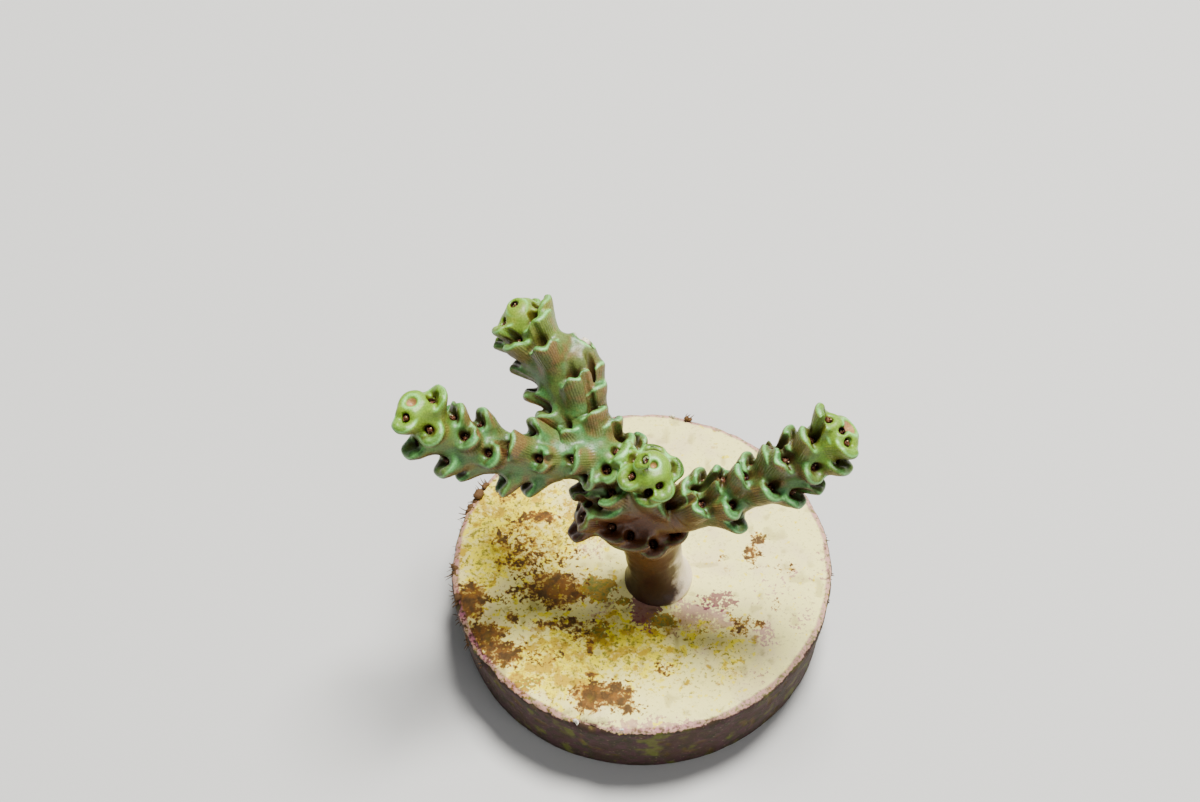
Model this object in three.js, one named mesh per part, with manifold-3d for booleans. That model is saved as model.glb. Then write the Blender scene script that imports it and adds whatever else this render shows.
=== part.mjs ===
// A small branching stony coral, Acropora selago, grown on a round frag disc.
// Millimetres, +Z up, origin at the centre of the disc's underside.

import * as THREE from 'three';
import { mergeVertices } from 'three/addons/utils/BufferGeometryUtils.js';
import Module from 'manifold-3d';

const wasm = await Module();
wasm.setup();

// Driving dimensions of the disc
const DISC_DIAMETER = 25;
const DISC_THICKNESS = 5.6;
const DISC_UNDERSIDE_DIAMETER = 23.6;
const DISC_EDGE_ROUNDING = 0.9;
const DISC_BULGE = 0.1;
const DISC_WAVINESS = 0.12;
const DISC_SEGMENTS = 32;

// Driving dimensions of the coral
const FOOT_RADIUS = 2.25;      // where the trunk has spread over the disc
const FOOT_HEIGHT = 2;
const FORK_GAP = 0.2;          // clearance between two pieces at a fork
const CUT_DEPTH = 3;           // how far beyond a fork's cut the trunk is kept clear
const BRANCH_SIDES = 8;
const RING_STEP = 2;

// A branch tip ends in its axial corallite: a rim and a hole, as shares of the tip's radius
const AXIAL_RIM_SHARE = 0.86;
const AXIAL_HOLE_SHARE = 0.42;
const AXIAL_CUP_DEPTH = 0.7;

// The corallites on the sides of a branch. Their places in the lists below are those of the
// middle of the root; the other places are measured from there towards the branch tip
const CUP_SIDES = 7;
const CUP_WALL = 0.4;          // thickness of the lip
const CUP_ROOT = 0.5;          // how deep the root goes into the branch
const CUP_ROOT_LENGTH = 1.05;  // the root's length and width, as shares of the lip's width
const CUP_ROOT_WIDTH = 1.1;
const CUP_HOLE_AHEAD = 0.25;
const LIGHT_TURN = 0.35;       // how far the mouths turn up towards the light
const CUP_MIDDLE = 0.45;
const LIP_BEVEL = 0.15;        // how far the lip's outer edge stands back from its inner one
const LIP_BLUNTNESS = 0.6;     // below 1 the lip is blunter than a circle's arc

// Spacing of the corallites that cover the sides turned away from the front
const FILL_REACH = 0.5;        // the spacing is measured this far out from the branch
const FILL_SPACING = 2.25;
const FILL_STEP = 0.23;
const GOLDEN_ANGLE = 137.5;

// The forms of a corallite: height and width of its lip, how far the lip's tip and the inner
// edge of its mouth lie towards the branch tip, and how deep the notch between two horns is
const LIPS = {
  plain: { height: 1.25, width: 1.95, tip: 1.1, mouth: 1, notch: 0 },
  low: { height: 0.95, width: 1.75, tip: 1, mouth: 0.95, notch: 0 },
  sunk: { height: 0.42, width: 1.4, tip: 0.6, mouth: 0.9, notch: 0 },
  broad: { height: 1.25, width: 2.6, tip: 1, mouth: 1, notch: 0 },
  horned: { height: 1.3, width: 2.2, tip: 1.15, mouth: 1, notch: 0.38 },
  hooked: { height: 1.05, width: 1.85, tip: 0.6, mouth: 1.15, notch: 0 },
  tall: { height: 1.5, width: 1.9, tip: 1.3, mouth: 1.05, notch: 0 },
  raised: { height: 1.2, width: 1.3, tip: 0.5, mouth: 0.8, notch: 0 },
};

// Each branch: the control points of its centre line; its radius at the start, middle and end;
// where a limb is cut at its fork, and how wide the trunk is kept clear there; the stretch whose
// other sides are filled with corallites; and the corallites that show from the front, each as
// [distance along, degrees around from the front, form]
const BRANCHES = {
  trunk: {
    path: [[1.05, -0.9, 5.6], [0.6, -0.8, 10.5], [0.6, -1.9, 14.3], [-2.7, 0.1, 18.2]],
    radii: [1.7, 1.95, 1.75],
    fill: [5.8, 12.6],
    cups: [
      [5.9, 14, 'low'], [6.1, 57, 'plain'], [7.3, -16, 'broad'], [8.0, -42, 'broad'],
      [10.2, -30, 'broad'], [10.9, -2, 'plain'], [11.4, -58, 'plain'], [11.6, 124, 'plain'],
      [12.3, 22, 'hooked'], [12.6, 62, 'plain'], [12.5, 98, 'low'],
    ],
  },
  side_stub: {
    path: [[0.3, -1.2, 12.9], [-1.3, -1.4, 13.6], [-2.6, -1.5, 14.0], [-3.9, -1.5, 14.6]],
    radii: [1.4, 1.2, 0.95],
    fill: [2.3, 4.0],
    cups: [[2.6, 60, 'plain'], [3.5, 20, 'plain'], [3.3, -60, 'plain']],
  },
  right_branch: {
    path: [[-0.2, -1.1, 13.9], [2.2, -2.0, 14.3], [6.8, -2.8, 17.3], [12.45, -1.45, 23.1]],
    radii: [1.6, 1.25, 1.05],
    cut: 2.9,
    cutWidth: 5,
    fill: [3.4, 15.2],
    cups: [
      [1.7, -60, 'low'], [3.4, -92, 'low'], [4.2, -128, 'low'], [4.3, -48, 'horned'],
      [6.0, -98, 'plain'], [6.2, -20, 'horned'], [5.7, 28, 'plain'], [7.7, -76, 'tall'],
      [8.0, -124, 'low'], [9.0, -14, 'horned'], [9.6, 42, 'plain'], [9.9, -102, 'plain'],
      [10.7, -62, 'horned'], [10.9, 62, 'plain'], [11.6, -118, 'plain'], [12.1, 2, 'hooked'],
      [12.9, -78, 'plain'], [13.3, 40, 'plain'], [14.4, -98, 'tall'], [14.4, -36, 'sunk'],
      [14.6, 8, 'low'],
    ],
  },
  front_branch: {
    path: [[0.0, -1.2, 14.3], [0.2, -1.6, 16.4], [0.45, -2.1, 18.6], [0.75, -2.35, 20.5]],
    radii: [1.4, 1.25, 1.1],
    cut: 3.3,
    cutWidth: 2.8,
    fill: [3.9, 5.8],
    cups: [
      [3.8, -2, 'low'], [4.7, -62, 'hooked'], [4.8, 24, 'hooked'], [5.0, -118, 'low'],
      [4.3, 108, 'low'], [4.8, 172, 'low'], [5.7, -80, 'sunk'],
    ],
  },
  left_branch: {
    path: [[-2.7, 0.1, 18.2], [-6.3, -1.0, 18.5], [-12.6, -1.0, 19.8], [-13.65, -1.15, 25.3]],
    radii: [1.5, 1.25, 1.0],
    cut: 2.4,
    cutWidth: 6,
    fill: [3.0, 11.8],
    cups: [
      [0.9, 38, 'low'], [0.2, -10, 'low'], [3.1, 44, 'hooked'], [3.3, -55, 'plain'],
      [4.8, -45, 'plain'], [5.0, 74, 'plain'], [6.5, 38, 'hooked'], [7.0, 136, 'plain'],
      [7.1, -68, 'plain'], [8.5, -38, 'plain'], [8.4, 64, 'hooked'], [9.4, 122, 'plain'],
      [10.6, -50, 'plain'], [11.3, 22, 'hooked'], [12.2, 112, 'plain'], [12.9, -24, 'low'],
      [13.1, 74, 'sunk'],
    ],
  },
  back_branch: {
    path: [[-2.7, 0.1, 18.2], [-3.4, 2.0, 19.5], [-5.4, 5.1, 21.3], [-7.9, 7.2, 23.7]],
    radii: [1.55, 1.5, 1.05],
    cut: 2.6,
    cutWidth: 6,
    fill: [3.1, 9.4],
    cups: [
      [0.5, 88, 'low'], [1.0, -25, 'low'], [1.3, 60, 'low'], [2.6, -52, 'plain'],
      [2.6, 95, 'low'], [3.5, 54, 'horned'], [3.7, 116, 'plain'], [4.3, -66, 'plain'],
      [4.6, 134, 'low'], [6.2, 36, 'horned'], [6.3, -80, 'plain'], [5.3, 114, 'raised'],
      [7.5, -14, 'plain'], [7.9, 60, 'plain'], [8.1, -78, 'plain'], [8.6, 100, 'plain'],
      [9.0, -30, 'plain'], [9.3, 40, 'low'],
    ],
  },
};

// The trunk piece holds the short side stub; each limb is a piece of its own
const TRUNK_PARTS = ['trunk', 'side_stub'];
const LIMBS = ['right_branch', 'front_branch', 'left_branch', 'back_branch'];

// Swellings on the sides of a limb: [limb, distance along, degrees around from the front,
// distance of the middle from the centre line, radius]
const SWELLINGS = [
  ['back_branch', 5.4, 115, 1.15, 1.25],
  ['back_branch', 6.8, 88, 1.1, 0.9],
];
const SWELLING_DETAIL = 1;

// A branch's centre line, with a frame of directions and a radius at every distance along it
class CentreLine {
  constructor({ path, radii }) {
    this.curve = new THREE.CubicBezierCurve3(...path.map((p) => new THREE.Vector3(...p)));
    this.curve.arcLengthDivisions = 400;
    this.length = this.curve.getLength();
    this.radii = radii;
  }

  radiusAt(along) {
    const [start, middle, end] = this.radii;
    const share = THREE.MathUtils.clamp(along / this.length, 0, 1);
    return share < 0.5
      ? THREE.MathUtils.lerp(start, middle, share * 2)
      : THREE.MathUtils.lerp(middle, end, share * 2 - 1);
  }

  frameAt(along) {
    const share = THREE.MathUtils.clamp(along / this.length, 0, 1);
    const forward = this.curve.getTangentAt(share);
    const front = new THREE.Vector3(0, -1, 0);
    front.addScaledVector(forward, -front.dot(forward)).normalize();
    const side = forward.clone().cross(front);
    const centre = this.curve.getPointAt(share);
    centre.addScaledVector(forward, along - share * this.length);
    return { centre, forward, front, side };
  }

  // A point at a distance along the line, an angle around it and a distance out from it
  pointAt(along, angle, out) {
    const { centre, front, side } = this.frameAt(along);
    return centre
      .addScaledVector(front, out * Math.cos(angle))
      .addScaledVector(side, out * Math.sin(angle));
  }
}

// A closed mesh from rings of points; each end is closed by a fan to its own middle point
function closedFromRings(start, rings, end) {
  const points = [start, ...rings.flat(), end];
  const count = rings[0].length;
  const last = points.length - 1;
  const faces = [];
  for (let i = 0; i < count; i += 1) {
    const next = (i + 1) % count;
    faces.push([0, 1 + next, 1 + i]);
    for (let ring = 0; ring < rings.length - 1; ring += 1) {
      const low = 1 + ring * count;
      const high = low + count;
      faces.push([low + i, low + next, high + next], [low + i, high + next, high + i]);
    }
    const top = last - count;
    faces.push([top + i, top + next, last]);
  }
  const geometry = new THREE.BufferGeometry().setFromPoints(points);
  geometry.setIndex(faces.flat());
  return geometry;
}

function solidFrom(geometry) {
  const bare = geometry.clone();
  bare.deleteAttribute('normal');
  bare.deleteAttribute('uv');
  const merged = mergeVertices(bare);
  return new wasm.Manifold(new wasm.Mesh({
    numProp: 3,
    vertProperties: new Float32Array(merged.attributes.position.array),
    triVerts: new Uint32Array(merged.index.array),
  }));
}

function geometryFrom(solid) {
  const mesh = solid.getMesh();
  const geometry = new THREE.BufferGeometry();
  geometry.setAttribute('position', new THREE.BufferAttribute(mesh.vertProperties, mesh.numProp));
  geometry.setIndex(new THREE.BufferAttribute(mesh.triVerts, 1));
  geometry.computeVertexNormals();
  return geometry;
}

function ringAt(line, along, radius) {
  const ring = [];
  for (let i = 0; i < BRANCH_SIDES; i += 1) {
    ring.push(line.pointAt(along, (i / BRANCH_SIDES) * 2 * Math.PI, radius));
  }
  return ring;
}

// The stem of a branch between two places; a stem that reaches the branch's tip ends there
// in the rim and the hole of the axial corallite
function stem(line, from, to, isTip) {
  const steps = Math.max(2, Math.round((to - from) / RING_STEP));
  const rings = [];
  for (let i = 0; i <= steps; i += 1) {
    const along = THREE.MathUtils.lerp(from, to, i / steps);
    const atRim = isTip && i === steps;
    rings.push(ringAt(line, along, line.radiusAt(along) * (atRim ? AXIAL_RIM_SHARE : 1)));
  }
  if (isTip) {
    rings.push(ringAt(line, to, line.radiusAt(to) * AXIAL_HOLE_SHARE));
  }
  const bottom = line.frameAt(isTip ? to - AXIAL_CUP_DEPTH : to).centre;
  return closedFromRings(line.frameAt(from).centre, rings, bottom);
}

// The foot: a low cone where the trunk has spread over the disc
function foot(line) {
  const upper = line.radiusAt(FOOT_HEIGHT);
  const rings = [
    ringAt(line, -FOOT_HEIGHT / 4, FOOT_RADIUS),
    ringAt(line, FOOT_HEIGHT / 4, THREE.MathUtils.lerp(FOOT_RADIUS, upper, 1 / 3)),
    ringAt(line, FOOT_HEIGHT, upper),
  ];
  return closedFromRings(
    line.frameAt(-FOOT_HEIGHT / 4).centre,
    rings,
    line.frameAt(FOOT_HEIGHT).centre,
  );
}

function blunt(cosine) {
  return Math.sign(cosine) * Math.abs(cosine) ** LIP_BLUNTNESS;
}

// One corallite: a hood rooted in the branch, whose lip leans over its hole
function corallite(line, [along, degrees, lip]) {
  const { height, width, tip, mouth, notch } = LIPS[lip];
  const angle = THREE.MathUtils.degToRad(degrees);
  const { centre, forward, front, side } = line.frameAt(along);
  const out = front.clone().multiplyScalar(Math.cos(angle))
    .addScaledVector(side, Math.sin(angle));
  const ahead = forward.add(new THREE.Vector3(0, 0, LIGHT_TURN));
  ahead.addScaledVector(out, -ahead.dot(out)).normalize();
  const across = ahead.clone().cross(out);
  const base = centre.addScaledVector(out, line.radiusAt(along));
  const place = (onward, up, aside) => base.clone()
    .addScaledVector(ahead, onward)
    .addScaledVector(out, up)
    .addScaledVector(across, aside);

  const half = width / 2;
  const root = [];
  const outerRim = [];
  const innerRim = [];
  for (let i = 0; i < CUP_SIDES; i += 1) {
    const turn = (i / CUP_SIDES) * 2 * Math.PI;
    const lift = (1 + blunt(Math.cos(turn))) / 2;
    const aside = Math.sin(turn);
    const horn = i === 0 ? -notch : 0;
    const rimHeight = height * lift + horn;
    const holeHeight = (height - CUP_WALL) * lift + horn / 2;
    root.push(place(
      -half * CUP_ROOT_LENGTH * Math.cos(turn),
      -CUP_ROOT,
      half * CUP_ROOT_WIDTH * aside,
    ));
    outerRim.push(place(
      THREE.MathUtils.lerp(mouth, tip - LIP_BEVEL, lift),
      rimHeight,
      half * aside,
    ));
    innerRim.push(place(
      THREE.MathUtils.lerp(mouth, tip, lift),
      holeHeight,
      (half - CUP_WALL) * aside,
    ));
  }
  const hole = place(CUP_HOLE_AHEAD, 0, 0);
  return closedFromRings(place(0, -CUP_ROOT, 0), [root, outerRim, innerRim], hole);
}

// The corallites of a branch: those placed by hand, then more on its other sides, on a spiral,
// wherever there is room for one
function corallitesOf(branch, line) {
  const [first, last] = branch.fill;
  const cups = [...branch.cups];
  for (let i = 0; first + i * FILL_STEP < last; i += 1) {
    const along = first + i * FILL_STEP;
    const degrees = (i * GOLDEN_ANGLE) % 360;
    const reach = line.radiusAt(along) + FILL_REACH;
    const hasRoom = cups.every(([otherAlong, otherDegrees]) => {
      const turned = Math.abs(((degrees - otherDegrees + 540) % 360) - 180);
      const around = THREE.MathUtils.degToRad(turned) * reach;
      return Math.hypot(along - otherAlong, around) > FILL_SPACING;
    });
    if (hasRoom) {
      cups.push([along, degrees, i % 3 === 0 ? 'low' : 'plain']);
    }
  }
  return cups;
}

function swelling([name, along, degrees, aside, radius]) {
  const angle = THREE.MathUtils.degToRad(degrees);
  const { centre, front, side } = lines[name].frameAt(along);
  centre.addScaledVector(front, aside * Math.cos(angle));
  centre.addScaledVector(side, aside * Math.sin(angle));
  const ball = new THREE.IcosahedronGeometry(radius, SWELLING_DETAIL);
  ball.deleteAttribute('normal');
  ball.deleteAttribute('uv');
  return mergeVertices(ball.translate(centre.x, centre.y, centre.z));
}

// A block that starts at the plane across a branch and reaches on towards the branch's tip
function blockBeyond(line, along, width, depth) {
  const { centre, forward, front, side } = line.frameAt(along);
  const block = new THREE.BoxGeometry(width, width, depth);
  block.translate(0, 0, depth / 2);
  block.applyMatrix4(new THREE.Matrix4().makeBasis(front, side, forward).setPosition(centre));
  return solidFrom(block);
}

function joined(geometries) {
  return geometries.map(solidFrom).reduce((whole, solid) => whole.add(solid));
}

const lines = Object.fromEntries(
  Object.entries(BRANCHES).map(([name, branch]) => [name, new CentreLine(branch)]),
);
const cups = Object.fromEntries(
  Object.entries(BRANCHES).map(([name, branch]) => [name, corallitesOf(branch, lines[name])]),
);

// A limb: everything of its branch beyond the cut at the fork
function makeLimb(name) {
  const line = lines[name];
  const start = BRANCHES[name].cut + FORK_GAP / 2;
  const own = cups[name].filter(([along]) => along > BRANCHES[name].cut - CUP_MIDDLE);
  const whole = joined([
    stem(line, start - RING_STEP, line.length, true),
    ...own.map((cup) => corallite(line, cup)),
    ...SWELLINGS.filter(([limb]) => limb === name).map(swelling),
  ]);
  const ampleWidth = 3 * line.length;
  return whole.intersect(blockBeyond(line, start, ampleWidth, ampleWidth));
}

// The trunk: its own stem, foot and short stub, and the root of each limb up to its cut
function makeTrunk() {
  const parts = [];
  for (const name of TRUNK_PARTS) {
    parts.push(stem(lines[name], 0, lines[name].length, name === 'side_stub'));
    parts.push(...cups[name].map((cup) => corallite(lines[name], cup)));
  }
  parts.push(foot(lines.trunk));
  for (const name of LIMBS) {
    const { cut } = BRANCHES[name];
    const own = cups[name].filter(([along]) => along <= cut - CUP_MIDDLE);
    parts.push(stem(lines[name], 0, cut - FORK_GAP / 2, false));
    parts.push(...own.map((cup) => corallite(lines[name], cup)));
  }
  let trunk = joined(parts);
  for (const name of LIMBS) {
    const { cut, cutWidth } = BRANCHES[name];
    trunk = trunk.subtract(blockBeyond(lines[name], cut - FORK_GAP / 2, cutWidth, CUT_DEPTH));
  }
  const below = new THREE.BoxGeometry(DISC_DIAMETER, DISC_DIAMETER, DISC_THICKNESS);
  below.translate(0, 0, DISC_THICKNESS / 2);
  return trunk.subtract(solidFrom(below));
}

// The disc: cast and slightly uneven round its rim, with rounded edges and flat faces
function makeDisc() {
  const upper = DISC_DIAMETER / 2;
  const lower = DISC_UNDERSIDE_DIAMETER / 2;
  const edge = DISC_EDGE_ROUNDING;
  const profile = [
    [lower - edge / 2, 0],
    [lower, edge / 2],
    [(lower + upper) / 2 + DISC_BULGE, DISC_THICKNESS / 2],
    [upper, DISC_THICKNESS - edge],
    [upper - edge * (1 - Math.SQRT1_2), DISC_THICKNESS - edge * (1 - Math.SQRT1_2)],
    [upper - edge, DISC_THICKNESS],
  ];
  const rings = profile.map(([radius, z]) => {
    const ring = [];
    for (let i = 0; i < DISC_SEGMENTS; i += 1) {
      const angle = (i / DISC_SEGMENTS) * 2 * Math.PI;
      const wave = Math.sin(3 * angle + z) * 0.6 + Math.sin(7 * angle + 2 * z) * 0.4;
      const uneven = radius - DISC_WAVINESS * (1 - wave);
      ring.push(new THREE.Vector3(uneven * Math.cos(angle), uneven * Math.sin(angle), z));
    }
    return ring;
  });
  return closedFromRings(
    new THREE.Vector3(0, 0, 0),
    rings,
    new THREE.Vector3(0, 0, DISC_THICKNESS),
  );
}

const discMaterial = new THREE.MeshStandardMaterial({
  color: 0xcfc7ae, roughness: 0.9, metalness: 0, flatShading: true,
});
const trunkMaterial = new THREE.MeshStandardMaterial({
  color: 0x6f7a52, roughness: 0.55, metalness: 0, flatShading: true,
});
const limbMaterial = new THREE.MeshStandardMaterial({
  color: 0x7fa37a, roughness: 0.55, metalness: 0, flatShading: true,
});

const coral = new THREE.Group();

function addPiece(name, geometry, material) {
  const mesh = new THREE.Mesh(geometry, material);
  mesh.name = name;
  coral.add(mesh);
}

const disc = makeDisc();
disc.computeVertexNormals();
addPiece('frag_disc', disc, discMaterial);
addPiece('trunk', geometryFrom(makeTrunk()), trunkMaterial);
for (const name of LIMBS) {
  addPiece(name, geometryFrom(makeLimb(name)), limbMaterial);
}

export default coral;
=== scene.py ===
"""A small branching stony coral, Acropora selago, on its frag disc."""

import itertools
import math

import bpy
import numpy as np
from mathutils import Matrix, Vector


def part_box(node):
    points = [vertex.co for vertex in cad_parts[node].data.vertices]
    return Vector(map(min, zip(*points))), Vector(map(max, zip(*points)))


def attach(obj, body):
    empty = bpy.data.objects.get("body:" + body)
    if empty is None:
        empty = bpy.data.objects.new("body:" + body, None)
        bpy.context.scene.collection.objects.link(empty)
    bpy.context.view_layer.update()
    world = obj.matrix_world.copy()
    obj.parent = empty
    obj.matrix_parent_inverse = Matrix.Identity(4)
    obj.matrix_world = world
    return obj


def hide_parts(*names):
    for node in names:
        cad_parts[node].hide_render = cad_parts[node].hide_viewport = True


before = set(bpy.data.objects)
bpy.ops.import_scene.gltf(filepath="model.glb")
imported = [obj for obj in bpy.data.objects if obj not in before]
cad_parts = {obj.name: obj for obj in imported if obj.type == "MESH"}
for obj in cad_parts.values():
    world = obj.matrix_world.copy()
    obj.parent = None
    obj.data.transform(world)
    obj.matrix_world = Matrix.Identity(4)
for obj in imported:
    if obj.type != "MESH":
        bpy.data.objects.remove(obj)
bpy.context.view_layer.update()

MM = 0.001

# Sampling of the coral's surface, in millimetres
STEP = 0.085

# The disc, in millimetres
DISC_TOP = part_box("frag_disc")[1].z / MM
DISC_RADIUS = 12.5
DISC_LOWER_RADIUS = 11.8
DISC_ROUNDING = 0.5
DISC_BULGE = 0.1

# The forms of a corallite: height and width of its lip, how far the lip's crest lies towards
# the branch tip, how steeply it stands off the branch, how much of the lip stands free beyond
# the mouth, how far its sides curl round the mouth, and how deep the notch in its edge is
LIP_MEASURES = ("height", "width", "tip", "lean", "free", "curl", "notch")
LIPS = {
    "plain": (1.25, 1.75, 1.1, 31, 0.75, 0.45, 0),
    "low": (0.95, 1.6, 1.0, 29, 0.6, 0.5, 0),
    "sunk": (0.15, 1.3, 0.6, 50, 0.12, 0.9, 0),
    "broad": (1.25, 2.6, 1.0, 34, 0.45, 0.45, 0),
    "horned": (1.3, 1.75, 1.15, 30, 0.65, 0.45, 0.3),
    "hooked": (1.05, 1.6, 0.6, 48, 0.5, 0.8, 0),
    "scroll": (1.25, 1.55, 1.15, 29, 0.65, 0.85, 0),
    "tall": (1.5, 1.65, 1.3, 32, 0.9, 0.4, 0),
    "raised": (1.2, 1.3, 0.5, 72, 0.2, 0.9, 0),
}

# Each branch: the control points of its centre line; its radius at the start, middle and end;
# where a limb is cut at its fork, and how wide the trunk is kept clear there; the stretch whose
# other sides are filled with corallites; the radius of the calice at its tip, if it has a tip;
# and the corallites that show from the front, each as
# (distance along, degrees around from the front, form). Millimetres.
BRANCHES = {
    "trunk": dict(
        path=[(1.05, -0.9, 5.6), (0.6, -0.8, 10.5), (0.6, -1.9, 14.3), (-2.7, 0.1, 18.2)],
        radii=(1.7, 1.95, 1.75),
        fill=(5.8, 12.6),
        cups=[
            (5.9, 14, "low"), (6.1, 57, "plain"), (7.3, -16, "broad"), (8.0, -42, "broad"),
            (10.2, -30, "broad"), (10.9, -2, "plain"), (11.4, -58, "plain"),
            (11.6, 124, "plain"), (12.3, 22, "hooked"), (12.6, 62, "plain"),
            (12.5, 98, "low"),
        ],
    ),
    "side_stub": dict(
        path=[(0.3, -1.2, 12.9), (-1.3, -1.4, 13.6), (-2.6, -1.5, 14.0), (-3.9, -1.5, 14.6)],
        radii=(1.4, 1.2, 0.95),
        fill=(2.3, 4.0),
        calice=0.3,
        cups=[(2.6, 60, "plain"), (3.5, 20, "plain"), (3.3, -60, "plain")],
    ),
    "right_branch": dict(
        path=[(-0.2, -1.1, 13.9), (2.2, -2.0, 14.3), (6.8, -2.8, 17.3), (12.45, -1.45, 23.1)],
        radii=(1.6, 1.25, 1.05),
        cut=2.9,
        cut_width=5,
        fill=(3.4, 15.2),
        calice=0.52,
        cups=[
            (1.7, -60, "low"), (3.4, -92, "low"), (4.2, -128, "low"), (4.3, -48, "horned"),
            (6.0, -98, "plain"), (6.2, -20, "scroll"), (5.7, 28, "plain"), (7.7, -76, "tall"),
            (8.0, -124, "low"), (9.0, -14, "scroll"), (9.6, 42, "plain"),
            (9.9, -102, "plain"), (10.7, -62, "horned"), (10.9, 62, "plain"),
            (11.6, -118, "plain"), (12.1, 2, "hooked"), (12.9, -78, "plain"),
            (13.3, 40, "plain"), (14.4, -98, "tall"), (14.4, -36, "sunk"), (14.6, 8, "low"),
        ],
    ),
    "front_branch": dict(
        path=[(0.0, -1.2, 14.3), (0.2, -1.6, 16.4), (0.45, -2.1, 18.6), (0.75, -2.35, 20.5)],
        radii=(1.4, 1.25, 1.1),
        cut=3.3,
        cut_width=2.8,
        fill=(3.9, 5.8),
        calice=0.26,
        cups=[
            (3.8, -2, "low"), (4.7, -62, "hooked"), (4.8, 24, "hooked"), (4.4, -118, "low"),
            (4.1, 108, "low"), (4.0, 172, "low"), (5.7, -80, "sunk"),
        ],
    ),
    "left_branch": dict(
        path=[(-2.7, 0.1, 18.2), (-6.3, -1.0, 18.5), (-12.6, -1.0, 19.8), (-13.65, -1.15, 25.3)],
        radii=(1.5, 1.25, 1.0),
        cut=2.4,
        cut_width=6,
        fill=(3.0, 11.8),
        calice=0.38,
        cups=[
            (0.9, 38, "low"), (0.2, -10, "low"), (3.1, 44, "hooked"), (3.3, -55, "plain"),
            (4.8, -45, "plain"), (5.0, 74, "plain"), (6.5, 38, "hooked"), (7.0, 136, "plain"),
            (7.1, -68, "plain"), (8.5, -38, "plain"), (8.4, 64, "hooked"), (9.4, 122, "plain"),
            (10.6, -50, "plain"), (11.3, 22, "hooked"), (12.2, 112, "plain"),
            (12.9, -24, "low"),
        ],
    ),
    "back_branch": dict(
        path=[(-2.7, 0.1, 18.2), (-3.4, 2.0, 19.5), (-5.4, 5.1, 21.3), (-7.9, 7.2, 23.7)],
        radii=(1.55, 1.5, 1.2),
        cut=2.6,
        cut_width=6,
        fill=(3.1, 9.4),
        calice=0.3,
        cups=[
            (0.5, 88, "low"), (1.0, -25, "low"), (1.3, 60, "low"), (2.6, -52, "plain"),
            (2.6, 95, "low"), (3.5, 54, "horned"), (3.7, 116, "plain"), (4.3, -66, "plain"),
            (4.6, 134, "low"), (6.2, 36, "horned"), (6.3, -80, "plain"), (5.3, 114, "raised"),
            (7.5, -14, "plain"), (7.9, 60, "plain"), (8.1, -78, "plain"), (8.6, 100, "plain"),
            (9.0, -30, "low"), (9.3, 40, "sunk"),
        ],
    ),
}
TRUNK_PARTS = ("trunk", "side_stub")
LIMBS = ("right_branch", "front_branch", "left_branch", "back_branch")

# Swellings on the sides of a limb: (limb, distance along, degrees around from the front,
# distance of the middle from the centre line, radius)
SWELLINGS = [
    ("back_branch", 5.4, 104, 1.5, 1.3),
    ("back_branch", 6.9, 80, 1.25, 0.9),
    ("back_branch", 9.4, 40, 0.5, 1.15),
]

# Spots where the tissue is pale and rough, each given as the swellings are
PALE_SPOTS = [("back_branch", 6.5, 112, 2.2, 0.5)]

# Spacing of the corallites that cover the sides turned away from the front
FILL_REACH = 0.5
FILL_SPACING = 2.25
FILL_STEP = 0.23
GOLDEN_ANGLE = 137.5


# Small helpers

def unit(vectors):
    return vectors / np.linalg.norm(vectors, axis=-1, keepdims=True)


def smooth_step(low, high, x):
    t = np.clip((x - low) / (high - low), 0, 1)
    return t * t * (3 - 2 * t)


def smooth_min(a, b, width):
    """The lower of two fields, rounded where they cross."""
    h = np.maximum(width - np.abs(a - b), 0) / width
    return np.minimum(a, b) - h * h * width / 4


def smooth_max(a, b, width):
    return -smooth_min(-a, -b, width)


def hashed(cell, seed):
    """A number from -1 to 1 for every cell of a lattice, the same on every run."""
    n = (
        cell[..., 0].astype(np.int64) * 73856093
        ^ cell[..., 1].astype(np.int64) * 19349663
        ^ cell[..., 2].astype(np.int64) * 83492791
        ^ seed * 2654435761
    )
    n = (n ^ (n >> 13)) * 1274126177 & 0xFFFFFFFF
    n = (n ^ (n >> 16)) & 0xFFFF
    return n / 32767.5 - 1


def noise(points, size, seed=0):
    """Smooth noise from -1 to 1 at these points, with lumps of about this size."""
    scaled = points / size
    cell = np.floor(scaled)
    part = scaled - cell
    part = part * part * (3 - 2 * part)
    total = np.zeros(len(points))
    for corner in np.ndindex(2, 2, 2):
        weight = np.ones(len(points))
        for axis in range(3):
            weight *= part[:, axis] if corner[axis] else 1 - part[:, axis]
        total += weight * hashed(cell + corner, seed)
    return total


def lumpy(points, layers):
    """The sum of layers of noise, each given as (height, size of its lumps, seed)."""
    return sum(height * noise(points, size, seed) for height, size, seed in layers)


def add_object(name, data):
    added = bpy.data.objects.new(name, data)
    bpy.context.scene.collection.objects.link(added)
    return added


# Camera, lights and floor

TURN_DOWN = math.radians(57.37)     # how far below the level the photographer looked
CAMERA_DISTANCE = 175 * MM          # from the middle of the disc's top
PAN = math.radians(-0.89)
TILT = math.radians(3.51)
FOCAL = 80.1
SENSOR_WIDTH = 36
FLOOR_HALF = 1.5
WORLD_STRENGTH = 0.24
LIGHT_AIM = Vector((0, 0, 15 * MM))

# The lights: name, place, diameter, power and colour
LIGHTS = [
    ("key", (0.06, 0.09, 0.34), 0.12, 3.2, (1, 0.98, 0.93)),
    ("fill", (0.25, -0.3, 0.2), 0.3, 0.45, (1, 1, 1)),
]


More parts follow.
